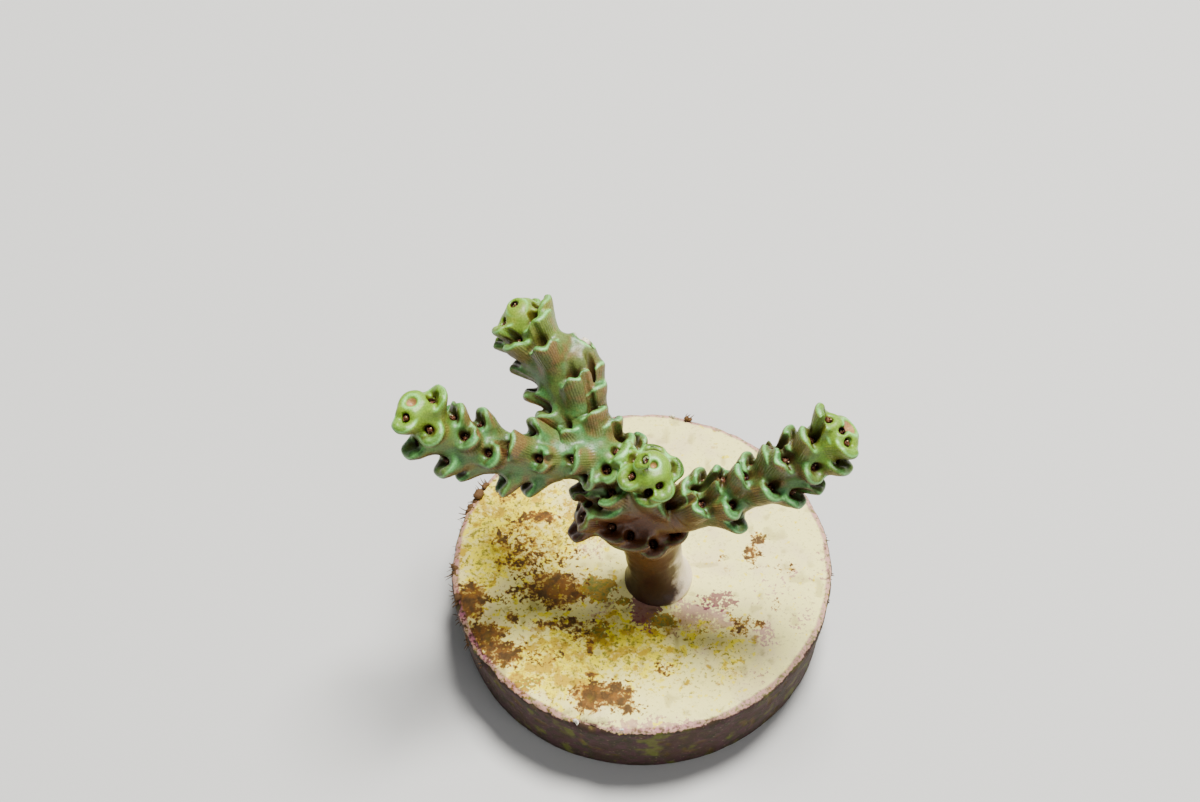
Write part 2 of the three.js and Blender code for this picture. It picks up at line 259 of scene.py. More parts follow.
def make_camera():
    target = Vector((0, 0, DISC_TOP * MM))
    place = target + CAMERA_DISTANCE * Vector((0, -math.cos(TURN_DOWN), math.sin(TURN_DOWN)))
    forward = Vector((0, math.cos(TURN_DOWN), -math.sin(TURN_DOWN)))
    right = Vector((1, 0, 0))
    up = right.cross(forward)
    panned = forward * math.cos(PAN) + right * math.sin(PAN)
    right = right * math.cos(PAN) - forward * math.sin(PAN)
    aim = panned * math.cos(TILT) + up * math.sin(TILT)
    up = up * math.cos(TILT) - panned * math.sin(TILT)
    data = bpy.data.cameras.new("camera")
    data.lens = FOCAL
    data.sensor_width = SENSOR_WIDTH
    data.clip_start = 0.01
    data.clip_end = 5
    camera = add_object("camera", data)
    axes = Matrix((right, up, -aim)).transposed().to_4x4()
    camera.matrix_world = Matrix.Translation(place) @ axes
    bpy.context.scene.camera = camera


def make_area_light(name, place, size, power, colour):
    data = bpy.data.lights.new(name, "AREA")
    data.shape = "DISK"
    data.size = size
    data.energy = power
    data.color = colour
    light = add_object(name, data)
    light.location = place
    light.rotation_euler = (LIGHT_AIM - Vector(place)).to_track_quat("-Z", "Y").to_euler()


def make_stage():
    mesh = bpy.data.meshes.new("floor")
    square = ((-1, -1), (1, -1), (1, 1), (-1, 1))
    corners = [(x * FLOOR_HALF, y * FLOOR_HALF, 0) for x, y in square]
    mesh.from_pydata(corners, [], [(0, 1, 2, 3)])
    floor = add_object("floor", mesh)
    material = bpy.data.materials.new("floor")
    material.use_nodes = True
    shader = material.node_tree.nodes["Principled BSDF"]
    shader.inputs["Base Color"].default_value = (0.62, 0.62, 0.61, 1)
    shader.inputs["Roughness"].default_value = 0.9
    mesh.materials.append(material)

    world = bpy.data.worlds.new("studio")
    world.use_nodes = True
    background = world.node_tree.nodes["Background"]
    background.inputs["Color"].default_value = (0.95, 0.97, 1, 1)
    background.inputs["Strength"].default_value = WORLD_STRENGTH
    bpy.context.scene.world = world
    for light in LIGHTS:
        make_area_light(*light)


# The coral's branches

class CentreLine:
    """A branch's centre line, with a frame of directions and a radius at every distance."""

    SPACING = 0.2
    FINE_STEPS = 2000

    def __init__(self, branch):
        corners = np.array(branch["path"], float)
        fine = np.linspace(0, 1, self.FINE_STEPS + 1)
        curve = self._bezier(corners, fine)
        runs = np.linalg.norm(np.diff(curve, axis=0), axis=1)
        distance = np.concatenate([[0], np.cumsum(runs)])
        self.length = distance[-1]
        self.radii = branch["radii"]
        self.calice = branch.get("calice")
        self.along = np.linspace(0, self.length, int(self.length / self.SPACING) + 2)
        share = np.interp(self.along, distance, fine)
        self.points = self._bezier(corners, share)
        self.tangents = unit(np.gradient(self.points, axis=0))

    @staticmethod
    def _bezier(corners, share):
        t = share[:, None]
        a, b, c, d = corners
        return (1 - t) ** 3 * a + 3 * (1 - t) ** 2 * t * b + 3 * (1 - t) * t ** 2 * c + t ** 3 * d

    def radius_at(self, along):
        share = np.clip(along / self.length, 0, 1)
        return np.interp(share, [0, 0.5, 1], self.radii)

    def _between(self, values, along):
        return np.array([np.interp(along, self.along, column) for column in values.T])

    def frame_at(self, along):
        """The line's point, its heading, and the directions to the front and the side."""
        inside = min(max(along, 0), self.length)
        centre = self._between(self.points, inside)
        forward = unit(self._between(self.tangents, inside))
        front = np.array([0, -1.0, 0])
        front = unit(front - forward * forward.dot(front))
        side = np.cross(forward, front)
        return centre + forward * (along - inside), forward, front, side

    def outward_at(self, along, degrees):
        """The line's point and heading, and the direction this far around from the front."""
        centre, forward, front, side = self.frame_at(along)
        angle = math.radians(degrees)
        return centre, forward, front * math.cos(angle) + side * math.sin(angle)

    def past_end(self, points):
        """How far each point lies beyond the line's end, and how far aside of it."""
        centre, forward, _, _ = self.frame_at(self.length)
        offset = points - centre
        beyond = offset @ forward
        return beyond, np.linalg.norm(offset - beyond[:, None] * forward, axis=1)

    def nearest(self, points, start, end):
        """For each point, its distance from a stretch of the line, and how far along that is."""
        kept = (self.along >= start - self.SPACING) & (self.along <= end + self.SPACING)
        line = self.points[kept].astype(np.float32)
        at = self.along[kept].astype(np.float32)
        best = np.full(len(points), 1e9, np.float32)
        along = np.zeros(len(points), np.float32)
        for low, high, at_low, at_high in zip(line[:-1], line[1:], at[:-1], at[1:]):
            run = high - low
            offset = points - low
            share = np.clip(offset @ run / run.dot(run), 0, 1)
            gap = offset - share[:, None] * run
            squared = np.einsum("ij,ij->i", gap, gap)
            closer = squared < best
            best[closer] = squared[closer]
            along[closer] = (at_low + share * (at_high - at_low))[closer]
        return np.sqrt(best), along


def corallites_of(branch, line):
    """The listed corallites, then more wherever a spiral finds room for one."""
    first, last = branch["fill"]
    cups = list(branch["cups"])
    i = 0
    while first + i * FILL_STEP < last:
        along = first + i * FILL_STEP
        degrees = (i * GOLDEN_ANGLE) % 360
        reach = line.radius_at(along) + FILL_REACH
        has_room = True
        for other_along, other_degrees, _ in cups:
            turned = abs((degrees - other_degrees + 540) % 360 - 180)
            around = math.radians(turned) * reach
            if math.hypot(along - other_along, around) <= FILL_SPACING:
                has_room = False
        if has_room:
            cups.append((along, degrees, "low" if i % 3 == 0 else "plain"))
        i += 1
    return cups


LINES = {name: CentreLine(branch) for name, branch in BRANCHES.items()}


# The coral's surface as a field: negative inside, positive outside, in millimetres

LIGHT_TURN = 0.35        # how far the corallites' mouths turn up towards the light
LIP_HALF_HEIGHT = 0.74   # of the cup that the lip is the outer side of, across its axis
LIP_HALF_THICKNESS = 0.24
LIP_THINNING = 0.2       # how far below its edge a lip is as thick as it gets
LIP_JOIN = 0.3           # width of the smooth joint between a lip and the bottom of its cup
ROOT_DEPTH = 0.5         # how deep in the branch a cup begins
HOLE_RADIUS = 0.18
HOLE_FLARE = 0.05
GROOVE = 0.12            # how far the mouth runs out on its inner side
HOLE_SHIFT = 0.16        # of the hole from the cup's middle towards the branch
HOLE_DEPTH = 0.8
JOIN = 0.42              # width of the smooth joint between a corallite and its branch
HOLE_JOIN = 0.16
RIB_SPACING = 0.15       # of the fine ribs on a lip's outer face
CUP_WINDOW = 2.7         # a corallite lies wholly within this distance of its place
SWING = 0.06             # the share by which corallites of one form differ
SWING_TURN = 2.4         # from one corallite to the next, in radians
CUP_TAPER = 0.16         # how much narrower a cup is at its root
NOTCH_WIDTH = 0.32


class Cup:
    """One corallite: a cup that leans towards the branch's tip, with a lip on its outer side."""

    def __init__(self, line, along, degrees, form, number):
        shape = dict(zip(LIP_MEASURES, LIPS[form]))
        swing = SWING * math.sin(number * SWING_TURN)
        centre, forward, out = line.outward_at(along, degrees)
        light = np.array([0, 0, LIGHT_TURN])
        light = light - out * light.dot(out)
        ahead = forward + light
        ahead = unit(ahead - out * ahead.dot(out))
        lean = math.radians(shape["lean"] * (1 + swing))
        height = shape["height"] * (1 + swing)
        self.place = centre + out * line.radius_at(along)
        self.along = along
        self.half_height = LIP_HALF_HEIGHT
        self.half_width = shape["width"] / 2 * (1 - swing)
        self.free = shape["free"]
        self.curl = shape["curl"]
        self.notch = shape["notch"]
        self.across = np.cross(ahead, out)
        self.axis = ahead * math.cos(lean) + out * math.sin(lean)
        self.outer = out * math.cos(lean) - ahead * math.sin(lean)
        crest = self.place + ahead * shape["tip"] + out * height
        self.top = crest - self.outer * self.half_height
        top_height = (self.top - self.place).dot(out)
        self.reach = (top_height + ROOT_DEPTH) / math.sin(lean)

    def local(self, points):
        """Distances from the cup's axis at its crest: along it, towards the lip, and across."""
        offset = points - self.top
        return offset @ self.axis, offset @ self.outer, offset @ self.across

    def from_axis(self, lip, across):
        return np.hypot(lip, across * self.half_height / self.half_width) + 1e-6

    def lip_level(self, lip, across):
        """How high the lip stands along the axis in this direction from it: a blunt tongue."""
        share = smooth_step(-self.curl, 0.8, lip / self.from_axis(lip, across))
        level = -self.free * (1 - share)
        if self.notch:
            level = level - self.notch * (np.exp(-((across / NOTCH_WIDTH) ** 2)) - 0.35) * share
        return level

    def body(self, points):
        axial, lip, across = self.local(points)
        rise = smooth_step(-self.reach, -0.4, axial)
        radius = self.half_height * (1 - CUP_TAPER + CUP_TAPER * rise)
        from_axis = self.from_axis(lip, across)
        thick = LIP_HALF_THICKNESS
        above = np.maximum(axial - self.lip_level(lip, across) + thick, 0)
        wall = np.hypot(from_axis - (radius - thick), above) - thick
        floor = -LIP_THINNING - (self.free - LIP_THINNING) * smooth_step(0.55, -0.05, lip)
        core = smooth_max(from_axis - radius, axial - floor, 0.15)
        return np.maximum(smooth_min(wall, core, LIP_JOIN), -axial - self.reach)

    def hole(self, points):
        axial, lip, across = self.local(points)
        depth = -self.free - axial
        flare = smooth_step(0.5, -0.2, depth)
        from_middle = lip + HOLE_SHIFT
        from_middle = from_middle + np.clip(-from_middle, 0, GROOVE * flare)
        wall = np.hypot(from_middle, across * 0.88) - HOLE_RADIUS - HOLE_FLARE * flare
        return smooth_max(wall, depth - HOLE_DEPTH, 0.3)


# A branch's domed tip and the mouth in it, and the trunk's foot
TIP_RISE = 0.1
TIP_DOME = 0.25
AXIAL_HOLE_RADIUS = 0.18
AXIAL_HOLE_DEPTH = 0.35
FOOT_RADIUS = 2.25
FOOT_HEIGHT = 2.0
FOOT_WINDOW = 3.2


def stem_field(line, points, first, last, has_tip):
    """A branch's stem between two distances along it, with its tip at the end or without."""
    distance, along = line.nearest(points, first, last)
    field = distance - line.radius_at(along)
    if has_tip:
        beyond, aside = line.past_end(points)
        radius = line.radius_at(line.length)
        end = beyond - TIP_RISE + TIP_DOME * np.minimum(aside / radius, 1.5) ** 2
        field = smooth_max(field - 0.02, end, 0.35)
    return field


def tip_hole(line, points):
    beyond, aside = line.past_end(points)
    flare = smooth_step(-0.3, 0.05, beyond)
    wall = aside - AXIAL_HOLE_RADIUS - (line.calice - AXIAL_HOLE_RADIUS) * flare
    return smooth_max(wall, -beyond - AXIAL_HOLE_DEPTH, 0.3)


def foot_field(points):
    """The foot: the trunk widens as it meets the disc."""
    line = LINES["trunk"]
    distance, along = line.nearest(points, 0, FOOT_HEIGHT * 1.5)
    spread = (1 - np.clip(along / FOOT_HEIGHT, 0, 1)) ** 2
    return distance - line.radius_at(along) - (FOOT_RADIUS - line.radii[0]) * spread


class Lattice:
    """A box of sample points; all boxes share one lattice, so neighbouring surfaces meet."""

    def __init__(self, low, high):
        self.first = np.floor(np.array(low) / STEP).astype(int)
        last = np.ceil(np.array(high) / STEP).astype(int)
        self.shape = tuple(last - self.first + 1)
        self.field = np.full(self.shape, 5, np.float32)

    def window(self, centre, reach):
        """The part of the box within reach of a centre, or None."""
        low = np.maximum(np.floor((centre - reach) / STEP).astype(int) - self.first, 0)
        high = np.ceil((centre + reach) / STEP).astype(int) - self.first + 1
        high = np.minimum(high, self.shape)
        if np.any(high <= low):
            return None
        return tuple(slice(a, b) for a, b in zip(low, high))

    def points(self, window):
        axes = [
            (np.arange(s.start, s.stop) + f) * STEP for s, f in zip(window, self.first)
        ]
        mesh = np.meshgrid(*axes, indexing="ij")
        return np.stack(mesh, axis=-1).reshape(-1, 3).astype(np.float32)

    def update(self, function, centre=None, reach=0):
        """Replaces the field by function(old field, points), near a centre or else all over."""
        if centre is None:
            window = tuple(slice(0, n) for n in self.shape)
        else:
            window = self.window(centre, reach)
        if window is None:
            return
        old = self.field[window].reshape(-1)
        new = function(old, self.points(window))
        self.field[window] = new.reshape(self.field[window].shape)


def surface(lattice):
    """The zero surface of a sampled field: its vertices, and its faces as quads."""
    field = lattice.field
    inside = field < 0
    corners = list(np.ndindex(2, 2, 2))
    cells = tuple(n - 1 for n in field.shape)

    def corner_view(array, corner):
        return array[tuple(slice(c, c + n) for c, n in zip(corner, cells))]

    count = sum(corner_view(inside, c).astype(np.int8) for c in corners)
    active = (count > 0) & (count < 8)
    where = np.argwhere(active)
    index = np.full(cells, -1, np.int32)
    index[active] = np.arange(len(where))
    values = {c: corner_view(field, c)[active] for c in corners}
    total = np.zeros((len(where), 3))
    crossings = np.zeros(len(where))
    for a in corners:
        for axis in range(3):
            if a[axis]:
                continue
            b = tuple(1 if k == axis else a[k] for k in range(3))
            cross = (values[a] < 0) != (values[b] < 0)
            share = values[a][cross] / (values[a][cross] - values[b][cross])
            spot = np.tile(np.array(a, float), (cross.sum(), 1))
            spot[:, axis] += share
            total[cross] += spot
            crossings[cross] += 1
    vertices = (where + total / crossings[:, None] + lattice.first) * STEP

    quads = []
    for axis in range(3):
        u, v = (axis + 1) % 3, (axis + 2) % 3
        low = [slice(1, n - 1) for n in field.shape]
        low[axis] = slice(0, field.shape[axis] - 1)
        high = list(low)
        high[axis] = slice(1, field.shape[axis])
        starts = inside[tuple(low)]
        ends = inside[tuple(high)]
        for leaving in (True, False):
            edges = np.argwhere((starts != ends) & (starts == leaving))
            edges[:, u] += 1
            edges[:, v] += 1
            around = []
            for du, dv in ((-1, -1), (0, -1), (0, 0), (-1, 0)):
                cell = edges.copy()
                cell[:, u] += du
                cell[:, v] += dv
                around.append(index[cell[:, 0], cell[:, 1], cell[:, 2]])
            quad = np.stack(around, axis=1)
            quads.append(quad if leaving else quad[:, ::-1])
    return vertices, np.concatenate(quads)


# The coral's pieces

SEAM = 0.16              # neighbouring pieces overlap by this much on each side of a cut
CUT_DEPTH = 3.0          # how far beyond its cut a limb's place is kept clear of the trunk
CUP_MIDDLE = 0.45        # of a corallite, from its place towards the tip
STEM_JOIN = 0.5          # width of the smooth joint between two stems
STEM_BEFORE = 1.5        # a limb's stem begins this far before its cut
STEM_AFTER = 1.0         # and the trunk's part of it ends this far beyond
CUPS_BEFORE = 2.0        # corallites within these distances of a cut may cross it
CUPS_AFTER = 1.2
BASE_DEPTH = 0.12        # of the coral's base below the disc's top
BOX_MARGIN = 1.0


def make_cups():
    cups = {}
    number = 0
    for name, branch in BRANCHES.items():
        cups[name] = []
        for along, degrees, form in corallites_of(branch, LINES[name]):
            cup = Cup(LINES[name], along, degrees, form, number)
            on_limb = name in LIMBS and along > branch["cut"] - CUP_MIDDLE
            cup.owner = name if on_limb else "trunk"
            cups[name].append(cup)
            number += 1
    return cups


CUPS = make_cups()


def add_stem(lattice, line, start, end, has_tip=False):
    kept = line.points[(line.along >= start) & (line.along <= end)]
    middle = (kept.min(0) + kept.max(0)) / 2
    reach = (kept.max(0) - kept.min(0)) / 2 + max(line.radii) + BOX_MARGIN

    def joined(old, points):
        return smooth_min(old, stem_field(line, points, start, end, has_tip), STEM_JOIN)

    lattice.update(joined, middle, reach)


def swelling_middle(limb, along, degrees, aside):
    centre, _, out = LINES[limb].outward_at(along, degrees)
    return centre + out * aside


def add_swelling(lattice, middle, radius):
    def joined(old, points):
        return smooth_min(old, np.linalg.norm(points - middle, axis=1) - radius, STEM_JOIN)

    lattice.update(joined, middle, radius + BOX_MARGIN)


def add_cups(lattice, cups):
    for cup in cups:
        place = cup.place
        lattice.update(lambda old, p: smooth_min(old, cup.body(p), JOIN), place, CUP_WINDOW)
    for cup in cups:
        place = cup.place
        lattice.update(lambda old, p: smooth_max(old, -cup.hole(p), HOLE_JOIN), place, CUP_WINDOW)


def cut_tip(lattice, line):
    lattice.update(
        lambda old, p: smooth_max(old, -tip_hole(line, p), HOLE_JOIN), line.points[-1], CUP_WINDOW
    )


def lattice_for(name):
    low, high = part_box(name)
    margin = Vector((BOX_MARGIN,) * 3)
    return Lattice(low / MM - margin, high / MM + margin)


def limb_surface(name):
    line = LINES[name]
    cut = BRANCHES[name]["cut"]
    lattice = lattice_for(name)
    add_stem(lattice, line, cut - STEM_BEFORE, line.length, has_tip=True)
    for limb, *place, radius in SWELLINGS:
        if limb == name:
            add_swelling(lattice, swelling_middle(limb, *place), radius)
    cups = [cup for cup in CUPS[name] if cup.along > cut - CUPS_BEFORE]
    add_cups(lattice, cups)
    cut_tip(lattice, line)
    centre, forward, _, _ = line.frame_at(cut)

    def clipped(old, points):
        return np.maximum(old, -((points - centre) @ forward) - SEAM)

    lattice.update(clipped)
    return lattice, cups


def trunk_surface():
    lattice = lattice_for("trunk")
    cups = []
    for name in TRUNK_PARTS:
        line = LINES[name]
        add_stem(lattice, line, 0, line.length, has_tip=name == "side_stub")
        cups += CUPS[name]
    lattice.update(
        lambda old, p: np.minimum(old, foot_field(p)), LINES["trunk"].points[0], FOOT_WINDOW
    )
    for name in LIMBS:
        cut = BRANCHES[name]["cut"]
        add_stem(lattice, LINES[name], 0, cut + STEM_AFTER)
        cups += [cup for cup in CUPS[name] if cup.along < cut + CUPS_AFTER]
    add_cups(lattice, cups)
    cut_tip(lattice, LINES["side_stub"])
    for name in LIMBS:
        centre, forward, front, side = LINES[name].frame_at(BRANCHES[name]["cut"])
        half = BRANCHES[name]["cut_width"] / 2

        def kept_clear(old, points):
            offset = points - centre
            ahead = offset @ forward
            block = np.maximum(SEAM - ahead, ahead - CUT_DEPTH)
            block = np.maximum(block, np.abs(offset @ front) - half)
            block = np.maximum(block, np.abs(offset @ side) - half)
            return np.maximum(old, -block)

        lattice.update(kept_clear, centre, CUT_DEPTH + half)
    base = DISC_TOP - BASE_DEPTH
    lattice.update(lambda old, p: np.maximum(old, base - p[:, 2]))
    return lattice, cups


def vertex_normals(vertices, quads):
    a, b, c, d = (vertices[quads[:, k]] for k in range(4))
    flat = np.cross(c - a, d - b)
    normals = np.zeros_like(vertices)
    for k in range(4):
        for axis in range(3):
            normals[:, axis] += np.bincount(quads[:, k], flat[:, axis], len(vertices))
    return unit(normals + 1e-12)


def field_at(lattice, points):
    cell = np.rint(points / STEP).astype(int) - lattice.first
    cell = np.clip(cell, 0, np.array(lattice.shape) - 1)
    return lattice.field[cell[:, 0], cell[:, 1], cell[:, 2]]


def openness(lattice, points, normals):
    """1 where the surface is free, towards 0 in a recess."""
    total = np.zeros(len(points))
    reaches = (0.3, 0.6, 1.0, 1.5)
    for reach in reaches:
        total += np.clip(field_at(lattice, points + normals * reach) / reach, 0, 1)
    return total / len(reaches)


RIM_WIDTH = 0.075        # of the bright line along a lip's edge
RING_WIDTH = 0.1         # and of the one around a tip's dish


def cup_marks(points, normals, cups):
    """For each point: how much it is a lip's edge, a lip's outer face or the inside of a cup,
    and its distance around the lip, for the fine ribs there."""
    rim = np.zeros(len(points))
    face = np.zeros(len(points))
    calice = np.zeros(len(points))
    ribs = np.zeros(len(points))
    for cup in cups:
        near = np.flatnonzero(np.all(np.abs(points - cup.place) < CUP_WINDOW, axis=1))
        if len(near) == 0:
            continue
        axial, lip, across = cup.local(points[near])
        below = cup.lip_level(lip, across) - axial
        side = cup.from_axis(lip, across) / cup.half_height
        within = smooth_step(1.3, 1.1, side)
        on_lip = smooth_step(-0.6, 0.0, lip / cup.half_height) * smooth_step(0.78, 0.92, side)
        edge = np.exp(-((below / RIM_WIDTH) ** 2)) * within * on_lip
        outward = normals[near] @ cup.outer
        facing = smooth_step(0.05, 0.55, outward) * within * smooth_step(0.05, 0.2, below)
        facing = facing * smooth_step(2.4, 1.2, below)
        inside = smooth_step(0.07, 0.0, cup.hole(points[near]))
        inside = inside * smooth_step(0.1 - cup.free, -0.15 - cup.free, axial)
        around = np.arctan2(across, lip) * cup.half_height
        stronger = facing > face[near]
        ribs[near[stronger]] = around[stronger]
        rim[near] = np.maximum(rim[near], edge)
        face[near] = np.maximum(face[near], facing)
        calice[near] = np.maximum(calice[near], inside)
    return rim * (1 - calice), face, calice, ribs


def tip_marks(points):
    """How near each point is to a branch's growing tip, whether it is in a tip's dish, and
    whether it is on the dish's edge."""
    tip = np.zeros(len(points))
    hole = np.zeros(len(points))
    edge = np.zeros(len(points))
    for name in (*LIMBS, "side_stub"):
        line = LINES[name]
        centre = line.frame_at(line.length)[0]
        distance = np.linalg.norm(points - centre, axis=1)
        share = 0.4 if name == "side_stub" else 1
        tip = np.maximum(tip, share * smooth_step(4.5, 0.5, distance))
        near = np.flatnonzero(distance < 1.2)
        beyond, aside = line.past_end(points[near])
        above = smooth_step(-0.45, -0.2, beyond)
        dish = above * smooth_step(line.calice, line.calice - 0.15, aside)
        ring = above * np.exp(-(((aside - line.calice - 0.12) / RING_WIDTH) ** 2))
        hole[near] = np.maximum(hole[near], dish)
        edge[near] = np.maximum(edge[near], ring)
    return tip, hole, edge


def spot_mark(points, spots, margin):
    """1 on these round spots, falling to 0 at this margin from them."""
    mark = np.zeros(len(points))
    for limb, *place, radius in spots:
        distance = np.linalg.norm(points - swelling_middle(limb, *place), axis=1)
        mark = np.maximum(mark, smooth_step(radius + margin, radius, distance))
    return mark


def make_mesh(name, vertices, faces):
    mesh = bpy.data.meshes.new(name)
    mesh.vertices.add(len(vertices))
    mesh.vertices.foreach_set("co", (vertices * MM).astype(np.float32).ravel())
    corners = faces.shape[1]
    mesh.loops.add(faces.size)
    mesh.loops.foreach_set("vertex_index", faces.astype(np.int32).ravel())
    mesh.polygons.add(len(faces))
    mesh.polygons.foreach_set("loop_start", np.arange(len(faces), dtype=np.int32) * corners)
    mesh.polygons.foreach_set("use_smooth", np.ones(len(faces), bool))
    mesh.update(calc_edges=True)
    mesh.validate()
    return add_object(name, mesh)


def set_marks(piece, marks):
    """Stores values at the vertices under their names, for the materials."""
    for name, values in marks.items():
        attribute = piece.data.attributes.new(name, "FLOAT", "POINT")
        attribute.data.foreach_set("value", values.astype(np.float32))


CORAL_LUMPS = [(0.045, 0.9, 1), (0.02, 0.4, 2)]


def make_coral_piece(name, lattice, cups, material):
    vertices, quads = surface(lattice)
    normals = vertex_normals(vertices, quads)
    lumps = lumpy(vertices, CORAL_LUMPS)
    rim, face, calice, ribs = cup_marks(vertices, normals, cups)
    tip, tip_inside, tip_edge = tip_marks(vertices)
    height = vertices[:, 2] + noise(vertices, 1.5, 3) + np.maximum(normals[:, 2], 0)
    piece = make_mesh(name + "_coral", vertices + normals * lumps[:, None], quads)
    set_marks(piece, {
        "rim": np.maximum(rim, 0.8 * tip_edge),
        "face": np.maximum(face, spot_mark(vertices, SWELLINGS, 0.35)),
        "ribbed": face,
        "ribs": ribs,
        "pale": spot_mark(vertices, PALE_SPOTS, 0.25),
        "calice": calice,
        "tip_calice": tip_inside,
        # how much the surface faces up, which the material paints as light
        "up": smooth_step(0.3, 1.0, normals[:, 2]),
        # low on the trunk's front and left, under the branches: painted shadow, partly the trunk's
        # own brown
        "low": smooth_step(18, 15.5, height) * smooth_step(4.5, 2.5, vertices[:, 0]),
        # how much the surface faces down, which the material paints as shade
        "beneath": smooth_step(0.25, -0.5, normals[:, 2]),
        "tip": tip,
        # how open the surface is; the material paints shade where it is low
        "open": openness(lattice, vertices, normals),
    })
    piece.data.materials.append(material)
    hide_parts(name)
    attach(piece, "root")


# The polyps: one sits drawn in at the bottom of every corallite's mouth

POLYP_RADIUS = 0.2
POLYP_DEPTH = 0.3        # of its middle below the mouth's edge
POLYP_RISE = 0.28        # of every second polyp, which is not drawn in as far
TENTACLES = 9
TENTACLE_RADIUS = 0.055
TENTACLE_SPREAD = 0.13   # of the tentacles around the polyp's middle
TENTACLE_RISE = 0.14     # of their ends above it
STRAND_SIDES = 5
PALE_EVERY = 8           # every so many tentacles, one is pale


def ball():
    """A round solid of radius 1: its vertices and its triangles."""
    golden = (1 + math.sqrt(5)) / 2
    corners = []
    for a in (-1, 1):
        for b in (-golden, golden):
            corners += [(0, a, b), (a, b, 0), (b, 0, a)]
    corners = unit(np.array(corners))
    edge = min(np.linalg.norm(corners[0] - c) for c in corners[1:]) * 1.01
    faces = []
    for i, j, k in itertools.combinations(range(12), 3):
        a, b, c = corners[[i, j, k]]
        sides = (np.linalg.norm(a - b), np.linalg.norm(b - c), np.linalg.norm(c - a))
        if max(sides) < edge:
            faces.append((i, j, k) if np.cross(b - a, c - a).dot(a) > 0 else (i, k, j))
    return corners, np.array(faces)


BALL = ball()


class Heap:
    """Balls and tubes gathered into one mesh, each with a tone from 0 to 1."""

    def __init__(self):
        self.vertices = []
        self.faces = []
        self.tones = []
        self.count = 0

    def _add(self, vertices, faces, tone):
        self.vertices.append(vertices)
        self.faces.append(faces + self.count)
        self.tones.append(np.full(len(vertices), tone))
        self.count += len(vertices)

    def add_ball(self, centre, radius, tone, squash=(1, 1, 1)):
        corners, faces = BALL
        self._add(centre + corners * radius * np.array(squash), faces, tone)

    def add_strand(self, points, radius, tone):
        """A thin strand through these points, narrowing to its end."""
        sides = STRAND_SIDES
        points = np.array(points)
        ahead = unit(np.gradient(points, axis=0))
        aside = unit(np.cross(ahead, (0.31, 0.2, 0.93)))
        other = np.cross(ahead, aside)
        angles = np.arange(sides) * 2 * math.pi / sides
        rings = []
        for k, point in enumerate(points):
            width = radius * (1 - 0.8 * k / (len(points) - 1))
            around = np.cos(angles)[:, None] * aside[k] + np.sin(angles)[:, None] * other[k]
            rings.append(point + around * width)
        vertices = np.concatenate([points[:1], *rings, points[-1:]])
        last = len(vertices) - 1
        faces = []
        for i in range(sides):
            j = (i + 1) % sides
            faces.append((0, 1 + j, 1 + i))
            faces.append((last, last - sides + i, last - sides + j))
            for k in range(len(points) - 1):
                a = 1 + k * sides
                faces.append((a + i, a + j, a + sides + j))
                faces.append((a + i, a + sides + j, a + sides + i))
        self._add(vertices, np.array(faces), tone)

    def make(self, name, material):
        piece = make_mesh(name, np.concatenate(self.vertices), np.concatenate(self.faces))
        set_marks(piece, {"tone": np.concatenate(self.tones)})
        piece.data.materials.append(material)
        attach(piece, "root")


def make_polyps(name, cups, material):
    heap = Heap()
    for number, cup in enumerate(cups):
        depth = POLYP_DEPTH - POLYP_RISE * (number % 2)
        middle = cup.top - cup.outer * HOLE_SHIFT - cup.axis * (cup.free + depth)
        heap.add_ball(middle, POLYP_RADIUS, 0.25)
        for k in range(TENTACLES):
            angle = 2 * math.pi * k / TENTACLES + number
            aside = cup.outer * math.cos(angle) + cup.across * math.sin(angle)
            spread = TENTACLE_SPREAD + 0.05 * math.sin(3.1 * k + number)
            rise = TENTACLE_RISE + 0.06 * math.sin(5.3 * k + 1.7 * number)
            centre = middle + aside * spread + cup.axis * rise
            tone = 1 if (k + number) % PALE_EVERY == 0 else 0.1 + 0.1 * (k % 3)
            heap.add_ball(centre, TENTACLE_RADIUS, tone)
    heap.make(name + "_polyps", material)


# The disc

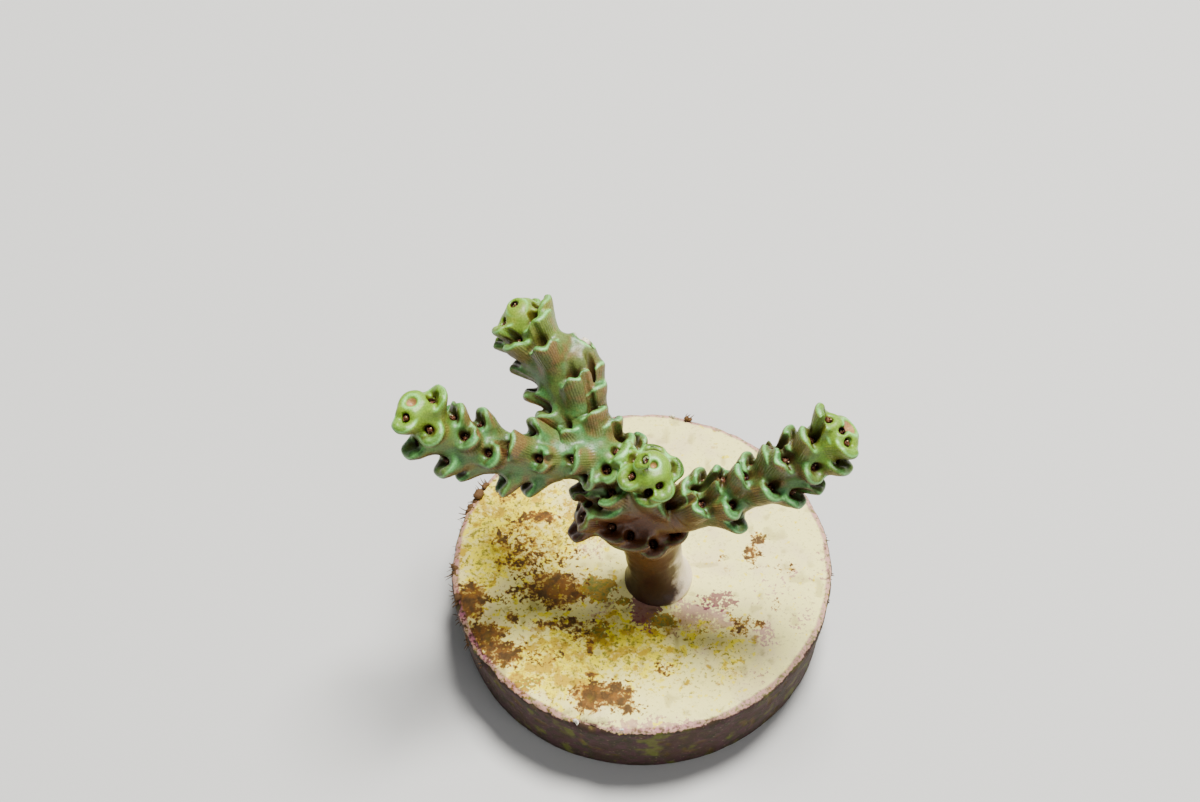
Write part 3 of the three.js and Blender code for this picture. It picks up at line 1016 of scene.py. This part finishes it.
# Films and crusts on the disc's top, each as (x, y, half width, half depth, strength)
PATCHES = {
    "brown": [
        (-5.6, -1.9, 1.5, 1.2, 1.0), (-7.7, 1.0, 1.5, 1.8, 0.6), (-9.2, 2.0, 0.6, 0.7, 0.7),
        (-6.7, 3.8, 1.0, 0.4, 0.9), (-11.3, -2.9, 0.9, 1.1, 1.0), (-10.1, -5.2, 1.1, 0.9, 0.95),
        (-8.9, -6.7, 1.0, 0.8, 0.9), (-8.3, -4.1, 0.4, 0.5, 0.8), (-5.1, -4.5, 1.5, 0.4, 0.7),
        (-4.0, -5.3, 0.7, 0.7, 0.6), (-3.3, -6.2, 0.2, 0.6, 0.9), (-2.4, -9.9, 1.7, 0.8, 1.0),
        (-4.0, -9.7, 0.7, 0.7, 0.7), (-0.8, -10.7, 0.6, 0.4, 0.7), (-3.3, -8.2, 0.3, 0.2, 1.0),
        (7.6, 2.2, 0.5, 0.6, 0.6), (7.3, 0.8, 0.5, 0.7, 0.7), (5.3, 0.4, 0.3, 0.3, 0.5),
        (6.4, -4.8, 0.6, 0.7, 0.6), (7.5, -4.5, 0.4, 0.3, 0.6), (1.3, -7.9, 0.5, 0.5, 0.5),
        (-5.2, 0.5, 1.0, 0.8, 0.4), (9.4, -0.2, 0.5, 0.4, 0.35), (8.8, -3.0, 0.4, 0.3, 0.4),
        (-8.9, 5.6, 0.7, 0.5, 0.5), (-6.6, -6.9, 1.0, 0.6, 0.45), (-8.2, -2.2, 1.0, 0.6, 0.45),
    ],
    "yellow": [
        (-8.3, 4.4, 2.9, 2.5, 0.95), (-9.9, 0.8, 2.0, 2.2, 0.9), (-6.1, 2.4, 2.0, 2.2, 0.75),
        (-5.0, -7.7, 2.8, 2.1, 0.95), (-7.5, -8.2, 1.0, 0.9, 1.0), (-0.5, -6.4, 2.8, 2.1, 0.85),
        (3.4, -5.4, 1.0, 1.0, 0.6), (5.3, -8.1, 0.8, 0.8, 0.5), (5.4, -6.2, 1.1, 1.0, 0.6),
        (-11.0, -1.0, 1.3, 1.4, 0.6), (-2.4, -8.1, 1.5, 1.1, 0.5), (-6.5, -2.0, 3.4, 5.0, 0.45),
        (1.0, -8.5, 4.0, 1.8, 0.35),
    ],
    "olive": [
        (-3.2, -1.9, 1.0, 0.7, 1.0), (1.6, -4.2, 0.8, 0.5, 1.0), (-2.7, -5.1, 0.6, 0.6, 0.8),
        (-1.2, -2.7, 0.4, 0.3, 0.8), (4.0, -5.0, 0.3, 0.2, 0.7), (5.9, -4.0, 0.4, 0.3, 0.6),
        (-8.0, -8.2, 0.6, 0.6, 0.5), (-7.5, -9.0, 1.0, 0.5, 0.8),
    ],
    "mauve": [
        (-3.4, 1.6, 1.3, 1.4, 0.5), (3.9, -4.1, 1.6, 1.0, 0.8), (2.3, -4.8, 1.0, 0.8, 0.6),
        (-2.3, -3.8, 1.0, 0.8, 0.6), (-6.7, -4.8, 0.8, 0.7, 0.5), (-7.5, -5.8, 0.9, 0.7, 0.5),
        (-5.8, -9.5, 0.6, 0.6, 0.7), (-9.1, -6.4, 0.6, 0.6, 0.5), (10.4, -4.1, 0.8, 0.8, 0.5),
        (7.9, -5.2, 0.8, 0.8, 0.6), (-11.8, 2.4, 0.7, 1.8, 0.5), (0.8, -11.9, 3.7, 0.5, 0.7),
        (12.1, 0.4, 0.5, 2.2, 0.4), (3.1, -6.2, 1.0, 0.6, 0.4), (9.2, -1.6, 1.8, 1.6, 0.32),
        (6.8, -8.2, 1.4, 1.0, 0.3), (-7.0, 6.5, 1.5, 1.2, 0.32),
    ],
    "magenta": [(0.3, -3.3, 0.8, 1.0, 1.0), (4.8, -2.7, 1.0, 0.6, 0.7)],
}
SECTORS = 512
RING_SPACING = 0.15
CHIPPED_FROM = math.radians(170)    # the stretch of the rim that is worn most
CHIPPED_TO = math.radians(290)
LOWER_ROUNDING = 0.3
WEAR = 0.12              # depth of the bites in the disc's edge
CHIPPED_WEAR = 0.33      # and how much deeper they are where it is worn most
SKIN = 0.05              # the relief lies around this depth below the disc's plain faces
FILM = 0.03              # thickness of the crusts, and of the grain on them
FILM_GRAIN = 0.07

# Layers of noise: the disc's relief, and the bites in its edge
DISC_RELIEF = [(0.05, 2.4, 11), (0.035, 0.9, 12), (0.02, 0.4, 13)]
DISC_BITES = [(1, 1.3, 21), (0.5, 0.5, 22)]
PIT_DEPTH = 0.08


def disc_profile():
    """The disc's section as radii and heights, from the middle of its top to its underside."""
    flat = DISC_RADIUS - DISC_ROUNDING
    radii = list(np.arange(RING_SPACING, flat, RING_SPACING))
    heights = [DISC_TOP - DISC_BULGE * (r / flat) ** 2 for r in radii]
    shoulder = DISC_TOP - DISC_BULGE - DISC_ROUNDING
    for share in np.linspace(0, 1, 7):
        turn = share * math.pi / 2
        radii.append(flat + DISC_ROUNDING * math.sin(turn))
        heights.append(shoulder + DISC_ROUNDING * math.cos(turn))
    lower = LOWER_ROUNDING
    lower_radius = DISC_LOWER_RADIUS + 0.1
    steps = int((shoulder - lower) / RING_SPACING)
    for share in np.linspace(0, 1, steps + 1)[1:]:
        radii.append(DISC_RADIUS + (lower_radius - DISC_RADIUS) * share)
        heights.append(shoulder + (lower - shoulder) * share)
    for share in np.linspace(0, 1, 5)[1:]:
        turn = share * math.pi / 2
        radii.append(lower_radius - lower + lower * math.cos(turn))
        heights.append(lower - lower * math.sin(turn))
    for r in np.arange(radii[-1] - 1, 1, -1.0):
        radii.append(r)
        heights.append(0)
    return np.array(radii), np.array(heights)


def turned(radii, heights):
    """The quads of a profile turned round the disc's axis, with both ends closed."""
    angles = np.arange(SECTORS) * 2 * math.pi / SECTORS
    x = radii[:, None] * np.cos(angles)
    y = radii[:, None] * np.sin(angles)
    z = np.repeat(heights[:, None], SECTORS, axis=1)
    vertices = np.stack([x, y, z], axis=-1).reshape(-1, 3)
    ring, i = np.meshgrid(np.arange(len(radii) - 1), np.arange(SECTORS), indexing="ij")
    a = (ring * SECTORS + i).ravel()
    b = (ring * SECTORS + (i + 1) % SECTORS).ravel()
    quads = [np.stack([a, a + SECTORS, b + SECTORS, b], axis=1)]
    i = np.arange(SECTORS // 2 - 1)
    cap = np.stack([i, i + 1, SECTORS - 2 - i, SECTORS - 1 - i], axis=1)
    quads.append(cap)
    quads.append(cap[:, ::-1] + SECTORS * (len(radii) - 1))
    return vertices, np.concatenate(quads)


def patch_mark(points, patches, seed):
    """How strongly these patches cover each point, with ragged edges."""
    ragged = lumpy(points, [(0.35, 1.1, seed), (0.25, 0.5, seed + 1)])
    mark = np.zeros(len(points))
    for x, y, half_width, half_depth, strength in patches:
        apart = np.hypot((points[:, 0] - x) / half_width, (points[:, 1] - y) / half_depth)
        mark = np.maximum(mark, strength * smooth_step(2.2, 0.35, apart + ragged))
    return mark


def make_disc(material):
    vertices, quads = turned(*disc_profile())
    normals = vertex_normals(vertices, quads)
    on_top = smooth_step(0.3, 0.9, normals[:, 2])
    beneath = smooth_step(-0.3, -0.9, normals[:, 2])
    marks = {
        kind: patch_mark(vertices, patches, 30 + 2 * k) * on_top
        for k, (kind, patches) in enumerate(PATCHES.items())
    }
    radius = np.hypot(vertices[:, 0], vertices[:, 1])
    angle = np.arctan2(vertices[:, 1], vertices[:, 0]) % (2 * math.pi)
    chipped = smooth_step(CHIPPED_FROM - 0.3, CHIPPED_FROM + 0.2, angle)
    chipped = chipped * smooth_step(CHIPPED_TO + 0.3, CHIPPED_TO - 0.2, angle)
    from_edge = np.hypot(DISC_RADIUS - radius, np.minimum(DISC_TOP - vertices[:, 2], 3))
    edge = smooth_step(1.1, 0.2, from_edge)
    bites = np.maximum(lumpy(vertices, DISC_BITES) + 0.1, 0)
    wear = edge * bites * (WEAR + CHIPPED_WEAR * chipped)
    pits = smooth_step(0.45, 0.8, noise(vertices, 0.55, 14))
    relief = lumpy(vertices, DISC_RELIEF) - PIT_DEPTH * pits
    film = np.maximum(marks["brown"], marks["olive"])
    relief += film * (FILM + FILM_GRAIN * np.abs(noise(vertices, 0.3, 15)))
    moved = normals * ((relief - SKIN - wear) * (1 - beneath))[:, None]
    piece = make_mesh("frag_disc_cast", vertices + moved, quads)
    # the side wall, which the material paints in shaded colours
    marks["side"] = (1 - on_top) * (1 - 0.35 * edge)
    marks["wear"] = np.clip(wear * 5, 0, 1)
    marks["pit"] = pits
    marks["edge"] = smooth_step(1.0, 0.1, from_edge)
    set_marks(piece, marks)
    piece.data.materials.append(material)
    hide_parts("frag_disc")
    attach(piece, "root")


# Small growths on the disc's rim: (degrees around, height on the side, size, tone)
TUFTS = [
    (153, 5.3, 1.2, 0.2), (158, 5.0, 1.05, 0.35), (164, 4.9, 0.75, 0.9), (171, 4.6, 0.75, 0.95),
    (178, 4.5, 1.05, 0.3), (186, 4.3, 0.825, 0.25), (196, 4.2, 0.75, 0.2), (205, 4.8, 0.75, 0.25),
    (149, 5.4, 0.75, 0.25), (181, 5.2, 0.75, 0.2), (191, 5.2, 0.75, 0.3), (213, 4.6, 0.675, 0.2),
    (12, 4.9, 0.525, 0.2), (6, 4.6, 0.45, 0.9), (-2, 4.7, 0.525, 0.25), (-9, 4.4, 0.375, 0.3),
    (-20, 4.4, 0.45, 0.95), (32, 5.4, 0.375, 0.2), (75, 5.5, 0.525, 0.2), (80, 5.5, 0.375, 0.9),
    (118, 5.4, 0.75, 0.95), (122, 5.2, 0.525, 0.9), (264, 5.35, 0.3, 1.0), (250, 5.3, 0.375, 1.0),
]
ROOT_BALLS = (0.26, 0.31, 0.36, 0.27, 0.32)    # radii, as shares of a growth's size
ROOT_DEPTH_IN_DISC = 0.12
EDGE_INSET = 0.15                              # of the disc's rounded edge
PALE_TONE = 0.6                                # growths above it are tubes with few strands


def make_tufts(material):
    heap = Heap()
    up = np.array([0, 0, 1])
    for number, (degrees, height, size, tone) in enumerate(TUFTS):
        angle = math.radians(degrees)
        out = np.array([math.cos(angle), math.sin(angle), 0])
        around = np.array([-math.sin(angle), math.cos(angle), 0])
        radius = DISC_LOWER_RADIUS + (DISC_RADIUS - DISC_LOWER_RADIUS) * height / DISC_TOP
        if height > DISC_TOP - DISC_ROUNDING:
            radius -= EDGE_INSET
        root = out * (radius - ROOT_DEPTH_IN_DISC) + up * height
        strands = 4 if tone > PALE_TONE else 9
        for k in range(strands):
            turn = 2.4 * k + number
            lean = around * math.cos(turn) + up * math.sin(turn)
            start = root + lean * size * 0.3
            reach = size * (0.5 + 0.35 * math.sin(3.7 * k + number))
            heading = unit(out + 0.8 * lean)
            points = []
            for share in (0, 0.35, 0.7, 1):
                curl = around * math.sin(share * 3 + turn) + lean * math.cos(share * 4)
                points.append(start + heading * reach * share + curl * 0.12 * share)
            heap.add_strand(points, 0.05 + 0.02 * (k % 2), tone)
        for k, share in enumerate(ROOT_BALLS):
            turn = 1.9 * k + number
            lean = around * math.cos(turn) + up * math.sin(turn)
            stretch = (1, 0.8 + 0.3 * (k % 2), 0.7)
            heap.add_ball(root + lean * size * 0.28, size * share, tone, stretch)
    heap.make("rim_growths", material)


# Materials

class Nodes:
    """Short ways to add and link the nodes of one material."""

    def __init__(self, name):
        self.material = bpy.data.materials.new(name)
        self.material.use_nodes = True
        self.tree = self.material.node_tree
        self.shader = self.tree.nodes["Principled BSDF"]
        coordinates = self.tree.nodes.new("ShaderNodeTexCoord")
        self.place = coordinates.outputs["Object"]

    def link(self, source, target):
        self.tree.links.new(source, target)

    def _add(self, kind, output, inputs, **settings):
        """Adds a node, fills its inputs with values or links, and returns one of its outputs."""
        node = self.tree.nodes.new("ShaderNode" + kind)
        for name, value in settings.items():
            setattr(node, name, value)
        for name, value in inputs.items():
            if hasattr(value, "is_linked"):
                self.link(value, node.inputs[name])
            else:
                node.inputs[name].default_value = value
        return node.outputs[output]

    def mark(self, name):
        """The values stored at the vertices under this name."""
        return self._add("Attribute", "Fac", {}, attribute_name=name)

    def axis(self, name):
        """The place on the piece along the X, Y or Z axis, in metres."""
        return self._add("SeparateXYZ", name, {"Vector": self.place})

    def noise(self, size, detail=2.0, roughness=0.5):
        """Noise with lumps of about this size, in metres."""
        inputs = {"Vector": self.place, "Scale": 1 / size, "Detail": detail, "Roughness": roughness}
        return self._add("TexNoise", "Fac", inputs)

    def math(self, operation, a, b=0.0):
        return self._add("Math", 0, {0: a, 1: b}, operation=operation)

    def times(self, a, b):
        return self.math("MULTIPLY", a, b)

    def plus(self, a, b):
        return self.math("ADD", a, b)

    def ramp(self, value, low, high, to_low=0.0, to_high=1.0):
        inputs = {"Value": value, "From Min": low, "From Max": high}
        inputs.update({"To Min": to_low, "To Max": to_high})
        return self._add("MapRange", "Result", inputs, interpolation_type="SMOOTHSTEP")

    def mix(self, factor, a, b, blend="MIX"):
        inputs = {"Factor": factor, "A": a, "B": b}
        return self._add("Mix", "Result", inputs, data_type="RGBA", blend_type=blend)

    def bump(self, height, depth, strength, before=None):
        inputs = {"Height": height, "Distance": depth, "Strength": strength}
        if before:
            inputs["Normal"] = before
        return self._add("Bump", "Normal", inputs)

    def finish(self, colour, roughness):
        """Gives the shader its colour and roughness, and returns the material."""
        self.link(colour, self.shader.inputs["Base Color"])
        self.shader.inputs["Roughness"].default_value = roughness
        return self.material


def srgb(red, green, blue):
    """A colour given as three numbers from 0 to 255, as the linear one that a shader wants."""
    linear = []
    for value in (red, green, blue):
        share = value / 255
        linear.append(share / 12.92 if share <= 0.04045 else ((share + 0.055) / 1.055) ** 2.4)
    return (*linear, 1)


TISSUE_GREEN = srgb(72, 114, 50)
TISSUE_LIT_TEAL = srgb(72, 132, 74)
TISSUE_OLIVE = srgb(88, 102, 40)
TISSUE_FACE = srgb(108, 96, 42)
TISSUE_BLUSH = srgb(138, 90, 56)
TISSUE_RIM = srgb(150, 240, 136)
TISSUE_LIME = srgb(128, 166, 20)
TISSUE_SHADE = srgb(62, 34, 10)
CALICE_BROWN_AND_SHADE = srgb(44, 16, 6)
TIP_CALICE = srgb(166, 124, 78)
TRUNK_BROWN_AND_SHADOW = srgb(84, 46, 18)
TRUNK_MAUVE_AND_SHADE = srgb(42, 20, 16)
TRUNK_PALE = srgb(236, 220, 196)


def coral_material():
    n = Nodes("coral tissue")
    patchy = n.noise(1.1 * MM, 3)
    mottled = n.noise(0.45 * MM, 3)
    grain = n.noise(0.1 * MM, 2)
    tissue = n.mix(n.ramp(patchy, 0.42, 0.62), TISSUE_GREEN, TISSUE_OLIVE)
    # Painted light: surfaces that face up are mixed towards a lighter teal, as if lit from above
    lit = n.times(n.mark("up"), n.ramp(patchy, 0.62, 0.4, 0.25, 0.85))
    tissue = n.mix(lit, tissue, TISSUE_LIT_TEAL)
    face = n.mix(n.ramp(patchy, 0.4, 0.6), TISSUE_FACE, TISSUE_BLUSH)
    tissue = n.mix(n.times(n.mark("face"), 0.6), tissue, face)
    tissue = n.mix(n.times(n.mark("tip"), 0.72), tissue, TISSUE_LIME)
    # Painted shade, partly also the tissue's own brown: recesses and undersides are mixed towards a
    # dark brown, less so near the tips
    recess = n.times(n.ramp(n.mark("open"), 0.62, 0.15), 0.8)
    tissue = n.mix(recess, tissue, TISSUE_SHADE)
    beneath = n.times(n.mark("beneath"), n.ramp(n.mark("tip"), 0.8, 0.0, 0.6, 0.9))
    tissue = n.mix(beneath, tissue, TISSUE_SHADE)
    spot = n.times(n.mark("pale"), n.ramp(grain, 0.35, 0.5, 0.4, 1.0))
    tissue = n.mix(spot, tissue, TRUNK_PALE)
    # Painted shadow, partly also the trunk's own brown: low on the trunk's front and left, under
    # the branches, the tissue turns brown
    low = n.mark("low")
    tissue = n.mix(low, tissue, TRUNK_BROWN_AND_SHADOW)
    # Towards the disc the foot turns a dark mauve: partly its own colour, partly painted shade
    foot_height = n.plus(n.axis("Z"), n.times(mottled, 3 * MM))
    foot = n.ramp(foot_height, 12.5 * MM, 9.5 * MM)
    tissue = n.mix(n.times(foot, 0.75), tissue, TRUNK_MAUVE_AND_SHADE)
    # Low on the trunk's right flank the colour turns pale
    to_the_right = n.plus(n.axis("X"), n.times(patchy, 2 * MM))
    flank = n.ramp(to_the_right, 2.9 * MM, 3.6 * MM)
    pale_flank = n.times(flank, n.ramp(n.axis("Z"), 10.5 * MM, 9 * MM))
    tissue = n.mix(pale_flank, tissue, TRUNK_PALE)
    # The rims are fainter in that painted shadow
    rim = n.times(n.mark("rim"), n.ramp(low, 0.0, 1.0, 0.72, 0.14))
    tissue = n.mix(rim, tissue, TISSUE_RIM)
    tissue = n.mix(n.ramp(n.mark("tip_calice"), 0.1, 0.8), tissue, TIP_CALICE)
    # Inside the mouths the colour darkens to brown: partly the polyps' own brown, partly painted
    # shade, less where the painted shadow already darkens
    calice = n.times(n.ramp(n.mark("calice"), 0.1, 0.7), n.ramp(low, 0.0, 1.0, 1.0, 0.5))
    tissue = n.mix(calice, tissue, CALICE_BROWN_AND_SHADE)
    tissue = n.mix(0.3, tissue, n.ramp(grain, 0.3, 0.7), "SOFT_LIGHT")
    n.shader.inputs["Subsurface Weight"].default_value = 0.2
    n.shader.inputs["Subsurface Radius"].default_value = (0.6, 0.8, 0.4)
    n.shader.inputs["Subsurface Scale"].default_value = 0.35 * MM
    ribs = n.math("SINE", n.times(n.mark("ribs"), 2 * math.pi / RIB_SPACING))
    ribs = n.times(ribs, n.mark("ribbed"))
    normal = n.bump(ribs, 0.012 * MM, 0.7)
    normal = n.bump(grain, 0.02 * MM, 0.6, normal)
    n.link(normal, n.shader.inputs["Normal"])
    return n.finish(tissue, 0.42)


POLYP_DARK = srgb(58, 26, 10)
POLYP_BROWN = srgb(98, 54, 22)
POLYP_PALE = srgb(190, 160, 120)


def polyp_material():
    n = Nodes("polyps")
    tone = n.mark("tone")
    colour = n.mix(n.ramp(tone, 0.1, 0.3), POLYP_DARK, POLYP_BROWN)
    colour = n.mix(n.ramp(tone, 0.6, 0.9), colour, POLYP_PALE)
    return n.finish(colour, 0.55)


DISC_CREAM = srgb(255, 246, 160)
DISC_GREY = srgb(244, 228, 164)
DISC_PALE_YELLOW = srgb(246, 228, 84)
DISC_YELLOW = srgb(226, 202, 8)
DISC_BRIGHT_YELLOW = srgb(255, 236, 0)
DISC_SPECK = srgb(110, 92, 14)
DISC_GOLDEN = srgb(178, 132, 14)
DISC_BROWN = srgb(118, 68, 8)
DISC_DARK_BROWN = srgb(56, 28, 6)
DISC_OLIVE = srgb(96, 104, 8)
DISC_MAUVE = srgb(182, 104, 132)
DISC_MAGENTA = srgb(116, 28, 70)
SIDE_MAUVE_SHADED = srgb(66, 36, 38)
SIDE_OLIVE_SHADED = srgb(46, 36, 12)
TUFT_BROWN = srgb(96, 66, 30)
TUFT_PALE = srgb(226, 222, 210)


def disc_material():
    n = Nodes("cast disc")
    broad = n.noise(2.2 * MM, 3)
    ragged = n.noise(0.6 * MM, 4, 0.65)
    fine = n.noise(0.22 * MM, 3, 0.6)
    finest = n.noise(0.09 * MM, 2)
    broken = n.ramp(n.plus(ragged, fine), 0.6, 1.4)

    def patch(name, strength=1.0):
        """Where a patch covers the disc: all over where its mark is 1, specks where it is low."""
        covered = n.plus(broken, n.times(n.mark(name), strength))
        return n.ramp(covered, 0.98, 1.08)

    def layer(below, amount, most, above):
        return n.mix(n.times(amount, most), below, above)

    colour = n.mix(n.ramp(broad, 0.45, 0.7), DISC_CREAM, DISC_GREY)
    colour = layer(colour, patch("mauve", 0.95), 0.65, DISC_MAUVE)
    colour = layer(colour, n.mark("yellow"), 0.8, DISC_PALE_YELLOW)
    colour = layer(colour, patch("yellow", 0.75), 0.75, DISC_YELLOW)
    colour = layer(colour, patch("yellow", 0.45), 0.7, DISC_OLIVE)
    dots = n.plus(n.noise(0.5 * MM, 2), n.times(n.mark("yellow"), 0.2))
    colour = layer(colour, n.ramp(dots, 0.65, 0.7), 0.85, DISC_BRIGHT_YELLOW)
    smudge = n.plus(n.noise(1.0 * MM, 4, 0.65), n.times(n.mark("yellow"), 0.18))
    colour = layer(colour, n.ramp(smudge, 0.64, 0.74), 0.75, DISC_GOLDEN)
    near_growth = n.ramp(n.mark("yellow"), 0.0, 0.6, 0.25, 0.65)
    colour = layer(colour, n.ramp(fine, 0.57, 0.64), near_growth, DISC_SPECK)
    colour = layer(colour, patch("magenta"), 0.85, DISC_MAGENTA)
    olive = n.mix(n.ramp(fine, 0.4, 0.6), DISC_OLIVE, DISC_GOLDEN)
    colour = layer(colour, patch("olive"), 0.9, olive)
    colour = layer(colour, patch("brown", 1.15), 0.8, DISC_GOLDEN)
    brown = n.mix(n.ramp(ragged, 0.42, 0.62), DISC_BROWN, DISC_DARK_BROWN)
    colour = layer(colour, patch("brown", 0.85), 0.9, brown)
    band = n.ramp(n.plus(n.mark("edge"), n.times(broad, 0.8)), 0.85, 1.15)
    crust = n.mix(n.ramp(fine, 0.45, 0.6), DISC_MAUVE, DISC_DARK_BROWN)
    colour = layer(colour, band, 0.75, crust)
    # Painted shade: the side wall has its crust's mauve and olive, darkened as if in shadow
    wall = n.mix(n.ramp(ragged, 0.42, 0.6), SIDE_MAUVE_SHADED, SIDE_OLIVE_SHADED)
    wall = layer(wall, n.ramp(fine, 0.62, 0.7), 0.15, DISC_GREY)
    wall = layer(wall, n.ramp(n.noise(1.3 * MM, 3), 0.56, 0.68), 0.6, DISC_OLIVE)
    wall = n.mix(n.times(n.ramp(broad, 0.48, 0.65), 0.6), wall, DISC_DARK_BROWN)
    side = n.plus(n.mark("side"), n.times(n.math("SUBTRACT", broken, 0.5), 0.5))
    colour = n.mix(n.ramp(side, 0.35, 0.6), colour, wall)
    worn = n.times(n.mark("wear"), n.ramp(ragged, 0.4, 0.6))
    colour = n.mix(n.times(worn, 0.6), colour, DISC_DARK_BROWN)
    colour = n.mix(n.times(n.mark("pit"), 0.35), colour, DISC_SPECK)
    rough = n.bump(fine, 0.06 * MM, 0.7)
    rough = n.bump(finest, 0.025 * MM, 0.6, rough)
    n.link(rough, n.shader.inputs["Normal"])
    return n.finish(colour, 0.85)


def tuft_material():
    n = Nodes("rim growths")
    colour = n.mix(n.ramp(n.mark("tone"), 0.5, 0.8), TUFT_BROWN, TUFT_PALE)
    return n.finish(colour, 0.8)


# Building the object

make_camera()
make_stage()

CORAL = coral_material()
POLYPS = polyp_material()
for part in ("trunk", *LIMBS):
    part_lattice, part_cups = trunk_surface() if part == "trunk" else limb_surface(part)
    make_coral_piece(part, part_lattice, part_cups, CORAL)
    make_polyps(part, [cup for cup in part_cups if cup.owner == part], POLYPS)
make_disc(disc_material())
make_tufts(tuft_material())
